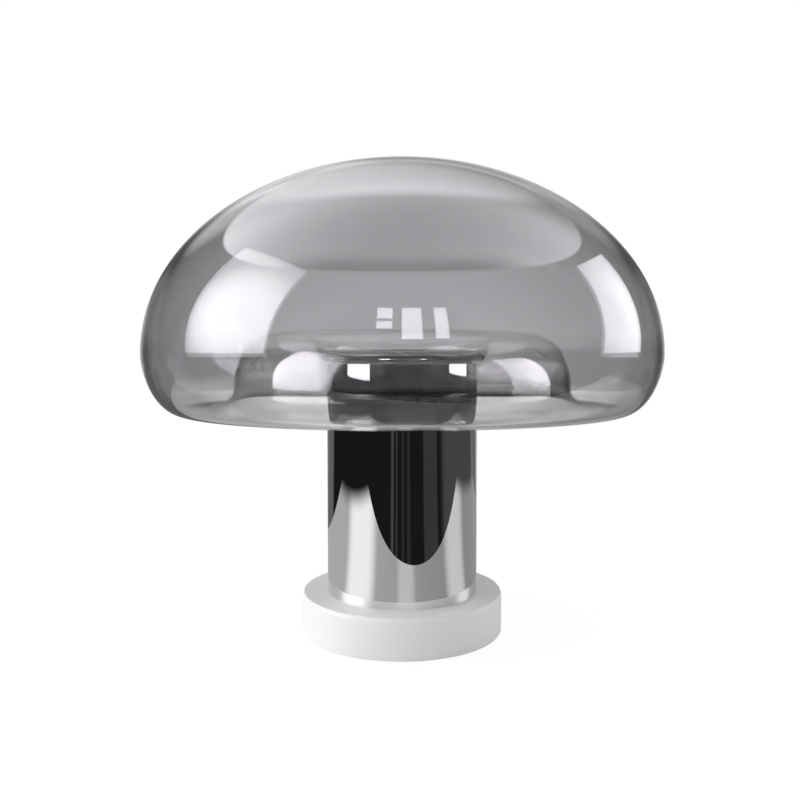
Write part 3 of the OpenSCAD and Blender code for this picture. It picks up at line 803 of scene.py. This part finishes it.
# %% Reflector and glow
# azimuth and elevation of its middle, then the angles where its edge and its rim begin and end
REFLECTOR, REFLECTOR_EDGE, RIM_EDGE = (180, 79.4), (45.8, 46.8), (33, 44)
GLOW, GLOW_LIGHT = (180, 46, 19, 27), 3.9
SECOND_MIRROR_LOSS = 0.6

reflector = 1.25 + 3.2 * right_of * right_of - 1.6 * right_of * (behind + 0.25)
reflector = reflector - 0.85 * step(sky, behind, 0.35, 0.65)
front_rim = (1 - round_patch(*REFLECTOR, *RIM_EDGE)) * step(sky, behind, -0.1, -0.45)
reflector = reflector * (1 - front_rim)
overhead = round_patch(*REFLECTOR, *REFLECTOR_EDGE)
glow = GLOW_LIGHT * round_patch(*GLOW) * (above - 0.5)
room = (walls + overhead * (reflector - walls) + glow) * (1 - SECOND_MIRROR_LOSS * twice)
print("walls and reflector take", len(sky.tree.nodes), "nodes")

# %% [markdown]
# The softboxes are laid over them, hotter in the middle. A lamp in a real room stands near, so the bowl
# inside the glass sees it from another place than the dome does, and a little turned. The world has no
# near and far, so each softbox has a second outline for rays inside the glass, where it is brighter too.

# %% Softboxes
BOX_EDGE, INSIDE_LIGHT = 0.01, 0.25


def softbox(outside, inside, bright, heat, heart, gain):
    """Two outlines, brightness, how much the heart adds and where it is, and the gain inside the glass."""
    shape = pane(outside, BOX_EDGE)
    shape = shape + within * (pane(inside, BOX_EDGE) - shape)
    return shape * (bright + heat * round_patch(*heart)) * (1 + gain * within + twice)


room = room + softbox(outside=[(-100, 0.6), (-108, 46), (-54, 49.5), (-56.5, 0.6)],
                      inside=[(-93, 0.6), (-101, 46), (-44, 49.5), (-46, 0.6)],
                      bright=2.7, heat=6.3, heart=(-74, 20, 6, 32), gain=1.9)
room = room + softbox(outside=[(88.5, 0.6), (102, 38.5), (128, 31.5), (116.3, 0.6)],
                      inside=[(76, 0.6), (71, 38.5), (104, 31.5), (114, 0.6)],
                      bright=2.8, heat=2.0, heart=(104, 16, 4, 24), gain=1.3)
room = room + INSIDE_LIGHT * horizon * within
print("with the softboxes there are", len(sky.tree.nodes), "nodes")

# %% [markdown]
# Last come the small panes. Four stand behind the camera and show on the front of the dome, and only for
# rays outside the glass. Two stand low at both sides and show only inside it, where the tube mirrors them
# just under the crest of the bowl.

# %% Panes
# brightness, and how softly the edge ends
PANE_LIGHT, PANE_EDGE = 6.8, 0.006
LOW_LIGHT, LOW_EDGE = 8.0, 0.004
# left, right, low and high edge in degrees
FRONT_PANES = [(-10.9, -4, 17.1, 22.2), (-10.9, -4, 23.5, 30.6),
               (-0.5, 8.2, 10.3, 30.6), (13.2, 19, 10.7, 30.4)]
LOW_PANES = [[(-89, -1.8), (-89, 0.8), (-49, 0.8), (-49, -2.45)],
             [(74, -1.4), (74, 0.8), (112, 0.8), (112, -1.9)]]

for left, right, low, high in FRONT_PANES:
    corners = [(left, low), (left, high), (right, high), (right, low)]
    room = room + PANE_LIGHT * (1 - within) * pane(corners, PANE_EDGE)
for corners in LOW_PANES:
    room = room + LOW_LIGHT * within * pane(corners, LOW_EDGE)
print("with the panes there are", len(sky.tree.nodes), "nodes")

# %% [markdown]
# ## Three answers for three kinds of ray
#
# The eye gets a white backdrop, also through the glass. A ray that a mirror has turned gets the room,
# whatever glass it passes afterwards: that keeps the chrome dark inside the glass as well. Every other
# ray is a dull surface gathering light, and gets a plain softer white. What mirrors see has a slight cool
# cast, as the grey of the glass has in the photograph.

# %% The world for each kind of ray
AMBIENT = 0.55
NEUTRAL, COOL = rgba(1, 1, 1), rgba(1.0, 0.987, 1.02)

straight, mirrored = eye_ray(sky), mirror_ray(sky)
strength = straight + (1 - straight) * (mirrored * room + (1 - mirrored) * AMBIENT)
cast = sky.mix(mirrored, NEUTRAL, COOL)
shown = sky.add("ShaderNodeBackground", None, {"Color": cast, "Strength": strength})
sky.add("ShaderNodeOutputWorld", None, {"Surface": shown})
print("world has", len(sky.tree.nodes), "nodes")

# %% [markdown]
# ## The picture's own settings
#
# Standard shows a colour as it is written. The box of the dressed lamp is measured last and printed: it
# should agree with the CAD box to a few tenths of a millimetre, because glass can't stand proud.

# %% Measure and finish
bpy.context.scene.view_settings.view_transform = "Standard"

low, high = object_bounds()
print("dressed box, mm:", [round(v * 1000, 1) for v in (*low, *high)])
